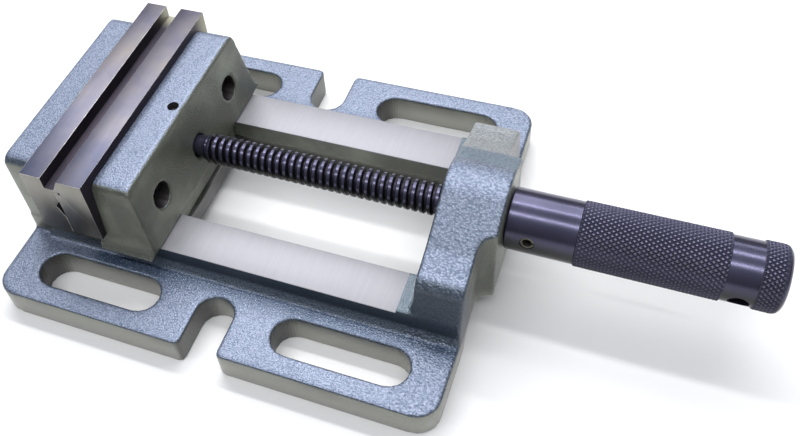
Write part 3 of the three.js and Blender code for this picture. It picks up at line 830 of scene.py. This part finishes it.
def jaw_casting():
    """The moving jaw, cast long towards the plate and then cut back to a flat seat."""
    grub_x = (GRUB_LOW[0] + GRUB_HIGH[0]) / 2
    grub_hole = (GRUB_HIGH[0] - GRUB_LOW[0]) / 2 + GRUB_CLEARANCE
    plug = rod(grub_hole + BITE, GRUB_HIGH[2] - GRUB_PLUG_DEPTH, JAW_TOP, (grub_x, 0), along_z)
    front = clone("moving_jaw")
    front.data.transform(Matrix.Translation(put(-OVERRUN, 0, 0)))
    before = JAW_LOW[0] - 2 * OVERRUN
    wide = (2 * JAW_LOW[1], 2 * JAW_HIGH[1])
    cut(front, box(before, 2 * JAW_HIGH[0], *wide, 0, TONGUE_TOP))
    piece = cast("moving_jaw", [plug, front])
    seat = box(before, PLATE_HIGH[0] + SEAT_GAP, *wide, PLATE_LOW[2] - SEAT_GAP, 2 * JAW_TOP)
    toe = box(before, TOE_START, *wide, TONGUE_TOP, 2 * JAW_TOP)
    bores = [rod(COUNTERBORE, MOVING_SEAT, JAW_HIGH[0] + OVERRUN, (side * BOLT_Y, BOLT_Z), along_x)
             for side in (-1, 1)]
    screw_bore = rod(JOURNAL_BORE, JAW_BORE_START, JAW_HIGH[0] + OVERRUN, (0, AXIS_Z), along_x)
    grub = rod(grub_hole, AXIS_Z, JAW_TOP + OVERRUN, (grub_x, 0), along_z)
    cut(piece, seat, toe, *bores, screw_bore, grub)
    shade(piece)
    materials = [JAW_ENAMEL, BORE, BARE]
    dress(piece, "jaw_casting", materials, "moving_jaw_group", ["moving_jaw"])
    repaint(piece, 1, lambda at, facing: in_counterbore(at) and at.x > MOVING_SEAT - EDGE_BREAK)
    repaint(piece, 1, lambda at, facing: off_axis(at) < JOURNAL_BORE)
    repaint(piece, 2, lambda at, facing: math.hypot(at.x - grub_x, at.y) < grub_hole and abs(facing.z) < 0.5)


def jaw_plates():
    """The ground plates: rubbed edges, and painted shade in the step, the vee and on the moving plate's back.
    """
    for end, body in (("fixed", "base"), ("moving", "moving_jaw_group")):
        node = f"{end}_jaw_plate"
        low, high = span(node)
        materials = [JAW_STEEL, WORN, GROOVE_SHADE]
        piece = clone(node)
        if end == "moving":
            mark = (low[0] + MARK_INSET, high[2] - MARK_DROP)
            cut(piece, rod(MARK_RADIUS, low[1] - OVERRUN, low[1] + MARK_DEPTH, mark, along_y, MARK_SIDES))
        coat(piece, materials)
        round_edges(piece, PLATE_BEVEL, edge_material=1)
        settle(piece)
        shade(piece)
        dress(piece, f"{end}_plate", materials, body, [node])
        grip = high[0] if end == "fixed" else low[0]
        # painted shade in the step and the vee
        repaint(piece, 2, lambda at, facing: EDGE_BREAK < abs(at.x - grip) < STEP_REACH
                and abs(facing.y) < 0.5 and at.z < high[2] - EDGE_BREAK and facing.z > -0.9)
        if end == "moving":
            # painted shade on the moving plate's back
            repaint(piece, 2, lambda at, facing: facing.x > 0.9 and at.x > low[0] + STEP_REACH)


# ---- spindle ----
def helix(x0, x1):
    """A right-hand trapezoidal ridge round a core, a closed skin that runs past both ends."""
    crest_low = CREST_HALF + CREST_ROUND
    root_half = crest_low + (THREAD_CREST - CREST_ROUND - THREAD_ROOT) * FLANK_SLOPE
    row = [(THREAD_ROOT, -root_half), (THREAD_CREST - CREST_ROUND, -crest_low), (THREAD_CREST, -CREST_HALF),
           (THREAD_CREST, CREST_HALF), (THREAD_CREST - CREST_ROUND, crest_low), (THREAD_ROOT, root_half)]
    width = len(row)
    first = math.floor(x0 / PITCH) - 2
    count = (math.ceil(x1 / PITCH) + 2 - first) * THREAD_STEPS
    points = []
    for i in range(count + 1):
        turn = 2 * math.pi * i / THREAD_STEPS
        x = (first + i / THREAD_STEPS) * PITCH
        points += [(x + offset, r * math.cos(turn), AXIS_Z + r * math.sin(turn)) for r, offset in row]
    faces = []
    for i in range(count):
        here, after = i * width, (i + 1) * width
        faces += [(here + k, after + k, after + k + 1, here + k + 1) for k in range(width - 1)]
        if i + THREAD_STEPS < count:
            near = (i + THREAD_STEPS) * width
            faces.append((here + width - 1, after + width - 1, near + width, near))
    hubs = [len(points), len(points) + 1]
    points += [(first * PITCH, 0, AXIS_Z), ((first + count / THREAD_STEPS) * PITCH, 0, AXIS_Z)]
    start = list(range(width)) + [i * width for i in range(THREAD_STEPS, 0, -1)]
    last = count * width
    end = [last + k for k in range(width)]
    end += [(count - i) * width + width - 1 for i in range(1, THREAD_STEPS + 1)]
    for hub, loop in zip(hubs, (start, end)):
        faces += [(hub, loop[i], loop[(i + 1) % len(loop)]) for i in range(len(loop))]
    return body_of_faces("helix", points, faces)


def lead_screw():
    """The spindle's screw: thread, plain journal with the grub screw's groove, and a tail in the handle."""
    tail_start = BOSS_END + TAIL_GAP
    thread_low = THREAD_START - RUN_IN
    start_clear, end_clear = (THREAD_CREST + gap for gap in THREAD_CLEAR)
    limit = [(thread_low, 0), (thread_low, THREAD_ROOT), (THREAD_START, start_clear),
             (tail_start, end_clear), (tail_start, 0)]
    screw = overlap(helix(thread_low, tail_start), lathe("limit", limit))
    groove = (GRUB_LOW[0] + GRUB_HIGH[0]) / 2
    low, high = SCREW_LOW[0], SCREW_HIGH[0]
    journal_end = THREAD_START + OVERRUN
    journal = [(low, 0), (low, JOURNAL - JOURNAL_CHAMFER), (low + JOURNAL_CHAMFER, JOURNAL),
               (groove - GROOVE_HALF, JOURNAL), (groove - GROOVE_HALF, GROOVE_RADIUS),
               (groove + GROOVE_HALF, GROOVE_RADIUS), (groove + GROOVE_HALF, JOURNAL),
               (journal_end, JOURNAL), (journal_end, 0)]
    tail = [(tail_start - BITE, 0), (tail_start - BITE, TAIL - BITE), (tail_start, TAIL),
            (high - TAIL_CHAMFER, TAIL), (high, TAIL - TAIL_CHAMFER), (high, 0)]
    join(screw, lathe("journal", journal), lathe("tail", tail))
    shade(screw, THREAD_CREASE)
    dress(screw, "spindle_screw", [OXIDE, ROOT_SHADE], "spindle", ["lead_screw"])
    shoulder = THREAD_CREST - 3 * CREST_ROUND
    # painted shade: the thread's roots and flanks get the near-black tone
    repaint(screw, 1, lambda at, facing: off_axis(at) < shoulder and THREAD_START < at.x < BOSS_END)


# ---- handle ----
def knurled(x0, x1):
    """A cylinder covered with flat-tipped diamonds, closed by a fan at each end."""
    around = 2 * KNURL_COUNT
    rows = 2 * math.ceil((x1 - x0) / KNURL_STEP / 2)
    step = (x1 - x0) / rows
    foot = GRIP_RADIUS - KNURL_DEPTH
    points = []
    faces = []

    def point(x, turn, r):
        points.append((x, r * math.cos(turn), AXIS_Z + r * math.sin(turn)))
        return len(points) - 1

    def at(m, n, r, dx=0.0, dm=0.0):
        return point(x0 + (n + dx) * step, 2 * math.pi * (m + dm) / around, r)

    low = {(m, n): at(m, n, foot)
           for n in range(-1, rows + 2) for m in range(around) if (m + n) % 2 == 0}
    for n in range(rows + 1):
        for m in range(around):
            if (m + n) % 2 == 0:
                continue
            corners = [low[(m + 1) % around, n], low[m, n + 1], low[(m - 1) % around, n], low[m, n - 1]]
            tip = [at(m, n, GRIP_RADIUS, 0, KNURL_TIP), at(m, n, GRIP_RADIUS, KNURL_TIP),
                   at(m, n, GRIP_RADIUS, 0, -KNURL_TIP), at(m, n, GRIP_RADIUS, -KNURL_TIP)]
            faces.append(tuple(tip))
            faces += [(corners[k], corners[(k + 1) % 4], tip[(k + 1) % 4], tip[k]) for k in range(4)]
    for n, beyond in ((0, -1), (rows, rows + 1)):
        hub = point(x0 + beyond * step, 0, 0)
        loop = []
        for m in range(around):
            loop.append(low[m, n if (m + n) % 2 == 0 else beyond])
        faces += [(hub, loop[i], loop[(i + 1) % around]) for i in range(around)]
    return body_of_faces("knurled", points, faces)


def grip_outline():
    """The turned outline that the grip's knurl is trimmed to."""
    clear, waist = GRIP_RADIUS + TRIM_CLEAR, GRIP_RADIUS - GRIP_CHAMFER
    return lathe("grip", [(GRIP_START, 0), (GRIP_START, waist), (GRIP_START + GRIP_CHAMFER, clear),
                          (GRIP_END - GRIP_CHAMFER, clear), (GRIP_END, waist), (GRIP_END, 0)])


def rounded_cap():
    """The cap's turned outline: a small chamfer at the neck and a round shoulder at the end."""
    end = HANDLE_HIGH[0]
    arc = []
    for i in range(CAP_STEPS + 1):
        turn = math.pi / 2 * i / CAP_STEPS
        arc.append((end - CAP_ROUND + CAP_ROUND * math.sin(turn),
                    GRIP_RADIUS - CAP_ROUND + CAP_ROUND * math.cos(turn)))
    return lathe("cap", [(CAP_START, 0), (CAP_START, GRIP_RADIUS - CAP_CHAMFER),
                         (CAP_START + CAP_CHAMFER, GRIP_RADIUS), *arc, (end, CAP_CROWN), (end, 0)])


def turn_about_axis(piece, angle):
    """Turns a piece's mesh about the screw's axis."""
    axis = Matrix.Translation(put(0, 0, AXIS_Z))
    piece.data.transform(axis @ Matrix.Rotation(angle, 4, "X") @ axis.inverted())


def turned_core():
    """The handle without its knurls: collar, core, neck, core again under the cap."""
    start, end = HANDLE_LOW[0], HANDLE_HIGH[0] - COLLAR_CHAMFER
    core = GRIP_RADIUS - KNURL_DEPTH - CORE_GAP
    outline = [(start, 0), (start, COLLAR_RADIUS - COLLAR_CHAMFER), (start + COLLAR_CHAMFER, COLLAR_RADIUS),
               (GRIP_START - STEP_DOWN, COLLAR_RADIUS), (GRIP_START, COLLAR_RADIUS - STEP_DOWN),
               (GRIP_START + CORE_GAP, core), (GRIP_END - CORE_GAP, core),
               (GRIP_END - STEP_DOWN, NECK_RADIUS), (CAP_START + STEP_DOWN, NECK_RADIUS),
               (CAP_START + CORE_GAP, core), (end, core - CAP_ROUND + CAP_CHAMFER), (end, 0)]
    return lathe("handle", outline, HANDLE_SIDES)


def handle():
    """The handle: a turned core with a knurled grip and cap, drilled for the screw, the pin and a bar."""
    piece = turned_core()
    grip = overlap(knurled(GRIP_START - BITE, GRIP_END + BITE), grip_outline())
    cap = overlap(knurled(CAP_START - BITE, HANDLE_HIGH[0] + BITE), rounded_cap())
    join(piece, grip, cap)
    bore_end = SCREW_HIGH[0] + TAIL_CHAMFER
    bore = rod(TAIL_BORE, HANDLE_LOW[0] - OVERRUN, bore_end, (0, AXIS_Z), along_x)
    pin_x = (PIN_LOW[0] + PIN_HIGH[0]) / 2
    reach = COLLAR_RADIUS + OVERRUN
    pin_hole = rod(PIN_RADIUS + PIN_CLEARANCE, -reach, reach, (pin_x, AXIS_Z), along_y)
    reach = GRIP_RADIUS + OVERRUN
    bar_hole = rod(BAR_HOLE_RADIUS, -reach, reach, (BAR_HOLE_X, AXIS_Z), along_y)
    turn_about_axis(pin_hole, PIN_TILT)
    turn_about_axis(bar_hole, BAR_HOLE_TILT)
    cut(piece, bore, pin_hole, bar_hole)
    shade(piece, KNURL_CREASE)
    materials = [OXIDE, KNURL_TIPS, KNURL_GROOVES]
    dress(piece, "knurled_handle", materials, "spindle", ["handle"])
    paint_knurls(piece)


def paint_knurls(piece):
    """Rubbed tips where a face lies at the grip's full radius, grooves on the rest of the knurls."""
    for face in piece.data.polygons:
        reach = [off_axis(piece.data.vertices[v].co / MM) for v in face.vertices]
        on_grip = GRIP_START + STEP_DOWN < face.center.x / MM < GRIP_END - STEP_DOWN
        if min(reach) > GRIP_RADIUS - TIP_DEPTH:
            face.material_index = 1
        elif max(reach) > COLLAR_RADIUS + FOOT_RISE or on_grip:
            face.material_index = 2


# ---- small parts ----
def spring_pin():
    """A slotted roll pin through the collar; its ends show as bright rings."""
    pin_x = (PIN_LOW[0] + PIN_HIGH[0]) / 2
    long = PIN_HALF + OVERRUN
    piece = rod(PIN_RADIUS, -PIN_HALF, PIN_HALF, (pin_x, AXIS_Z), along_y)
    cut(piece, rod(PIN_RADIUS - PIN_WALL, -long, long, (pin_x, AXIS_Z), along_y),
        box(pin_x, pin_x + PIN_RADIUS + OVERRUN, -long, long, AXIS_Z - PIN_SLIT_HALF, AXIS_Z + PIN_SLIT_HALF))
    turn_about_axis(piece, PIN_TILT)
    round_edges(piece, PIN_BREAK)
    settle(piece)
    shade(piece)
    dress(piece, "spring_pin", [SPRING], "spindle", ["handle_pin"])


def grub_screw():
    """The screw under the hole in the jaw's top, with a hexagon socket and a plain point."""
    x = (GRUB_LOW[0] + GRUB_HIGH[0]) / 2
    radius = (GRUB_HIGH[0] - GRUB_LOW[0]) / 2
    low, high = GRUB_LOW[2], GRUB_HIGH[2]
    thread_low = low + GRUB_POINT_LENGTH
    piece = rod(radius, thread_low, high, (x, 0), along_z)
    join(piece, rod(GRUB_POINT_RADIUS, low, low + GRUB_POINT_ROOT, (x, 0), along_z))
    cut(piece, rod(GRUB_SOCKET_RADIUS, high - GRUB_SOCKET_DEPTH, high + OVERRUN, (x, 0), along_z, HEX))
    round_edges(piece, GRUB_BREAK)
    settle(piece)
    shade(piece)
    node = "spindle_retaining_screw"
    dress(piece, "grub_screw", [FASTENER], "moving_jaw_group", [node])


def cap_screw(node, body, axis, toward):
    """A socket-head screw in the box of its CAD node. axis is 0 or 2, toward is the way its point faces."""
    low, high = span(node)
    centre = [(a + b) / 2 for a, b in zip(low, high)]
    place = along_x if axis == 0 else along_z
    middle = (centre[1], centre[2]) if axis == 0 else (centre[0], centre[1])
    head, tip = (low[axis], high[axis]) if toward > 0 else (high[axis], low[axis])
    seat = head + toward * HEAD_HEIGHT[axis]

    def bar(radius, start, stop, sides=SMALL_SIDES):
        return rod(radius, min(start, stop), max(start, stop), middle, place, sides)

    piece = bar(HEAD_RADIUS, head, seat)
    round_edges(piece, SCREW_BREAK, 3)
    settle(piece)
    shank = bar(SHANK_RADIUS, seat - toward * BITE, tip)
    round_edges(shank, SCREW_BREAK, 1)
    join(piece, settle(shank))
    cut(piece, bar(SOCKET_RADIUS, head - toward * BITE, head + toward * SOCKET_DEPTH, HEX))
    shade(piece)
    dress(piece, node.replace("_screw", "_bolt"), [FASTENER], body, [node])


def carried_over():
    """CAD pieces whose shape is right: they keep it, with broken edges and a real finish."""
    plain = {"keeper_plate": BARE, "thrust_disc": BARE}
    for end in ("near", "far"):
        for group in ("fixed_plate", "moving_plate", "keeper"):
            plain[f"{group}_washer_{end}"] = SPRING
    for node, material in plain.items():
        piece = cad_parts[node]
        coat(piece, [material])
        round_edges(piece, WASHER_BREAK)


# ---- setting ----
CAMERA_PLACE = (189.4, -203.5, 294.7)
CAMERA_BACK = Vector((0.3052, -0.5758, 0.7585))
CAMERA_UP = Vector((-0.2181, 0.7330, 0.6443))
CAMERA_LENS = 40.94
CAMERA_SHIFT = (0.1018, -0.0417)
SENSOR = 36.0
CLIP = (0.01, 50.0)  # in metres
FLOOR_HALF = 6.0  # in metres, as are the lamps' sizes and places
LAMP_DISTANCE = 1.0
LAMP_AIM = Vector((0.06, 0.0, 0.03))
LOW_SKY = (0.05, 0.05, 0.045)
HIGH_SKY = (0.50, 0.53, 0.62)


def camera():
    """The viewer, from where the object is looked at: above, near side, towards the handle."""
    data = bpy.data.cameras.new("camera")
    data.sensor_width = SENSOR
    data.lens = CAMERA_LENS
    data.shift_x, data.shift_y = CAMERA_SHIFT
    data.clip_start, data.clip_end = CLIP
    viewer = bpy.data.objects.new("camera", data)
    scene.collection.objects.link(viewer)
    back = CAMERA_BACK.normalized()
    right = CAMERA_UP.cross(back).normalized()
    up = back.cross(right)
    turn = Matrix((right, up, back)).transposed().to_4x4()
    viewer.matrix_world = Matrix.Translation(put(*CAMERA_PLACE)) @ turn
    scene.camera = viewer


def softbox(name, across, up_angle, size, power, colour):
    """A lamp as long as size[0] along X, at an angle about the screw's line, from +Y up and over."""
    data = bpy.data.lights.new(name, "AREA")
    data.shape = "RECTANGLE"
    data.size, data.size_y = size
    data.energy = power
    data.color = colour
    lamp = bpy.data.objects.new(name, data)
    angle = math.radians(up_angle)
    lamp.location = LAMP_AIM + LAMP_DISTANCE * Vector((across, math.cos(angle), math.sin(angle)))
    lamp.rotation_mode = "QUATERNION"
    lamp.rotation_quaternion = (LAMP_AIM - lamp.location).to_track_quat("-Z", "Y")
    scene.collection.objects.link(lamp)


def pale_floor():
    """A plain matt floor."""
    half = FLOOR_HALF
    mesh = bpy.data.meshes.new("floor")
    corners = [(-half, -half, 0), (half, -half, 0), (half, half, 0), (-half, half, 0)]
    mesh.from_pydata(corners, [], [(0, 1, 2, 3)])
    floor = bpy.data.objects.new("floor", mesh)
    scene.collection.objects.link(floor)
    n = Nodes("pale_floor")
    paint = n.mix(n.span(n.noise(3.0), 0.0, 0.3), (0.80, 0.795, 0.77), (0.78, 0.775, 0.75))
    mesh.materials.append(n.finish(paint, n.span(n.noise(40.0), 0.75, 0.85), n.bump(n.noise(60.0), 0.02)))


def soft_sky():
    """Even light from all round, brighter from above."""
    world = bpy.data.worlds.new("studio")
    scene.world = world
    world.use_nodes = True
    tree = world.node_tree
    place = tree.nodes.new("ShaderNodeTexCoord")
    parts = tree.nodes.new("ShaderNodeSeparateXYZ")
    sky = tree.nodes.new("ShaderNodeValToRGB")
    for element, position, colour in zip(sky.color_ramp.elements, (0.05, 0.95), (LOW_SKY, HIGH_SKY)):
        element.position = position
        element.color = (*colour, 1.0)
    tree.links.new(place.outputs["Generated"], parts.inputs["Vector"])
    tree.links.new(parts.outputs["Z"], sky.inputs["Fac"])
    tree.links.new(sky.outputs["Color"], tree.nodes["Background"].inputs["Color"])


def studio():
    pale_floor()
    soft_sky()
    softbox("rear_strip", 0.0, 35.0, (1.3, 0.10), 2.5, (0.95, 0.96, 1.0))
    softbox("top_strip", 0.0, 70.0, (1.3, 0.07), 6.0, (0.97, 0.97, 1.0))
    softbox("front_strip", 0.0, 111.0, (1.3, 0.07), 6.0, (0.97, 0.97, 1.0))
    softbox("rear_box", -0.25, 55.0, (0.9, 0.5), 5.0, (0.95, 0.96, 1.0))


base_casting()
rail_faces()
jaw_casting()
jaw_plates()
lead_screw()
handle()
spring_pin()
grub_screw()
for end_name in ("near", "far"):
    cap_screw(f"fixed_plate_screw_{end_name}", "base", 0, 1)
    cap_screw(f"moving_plate_screw_{end_name}", "moving_jaw_group", 0, -1)
    cap_screw(f"keeper_screw_{end_name}", "moving_jaw_group", 2, 1)
carried_over()
camera()
studio()
scene.view_settings.view_transform = "Standard"
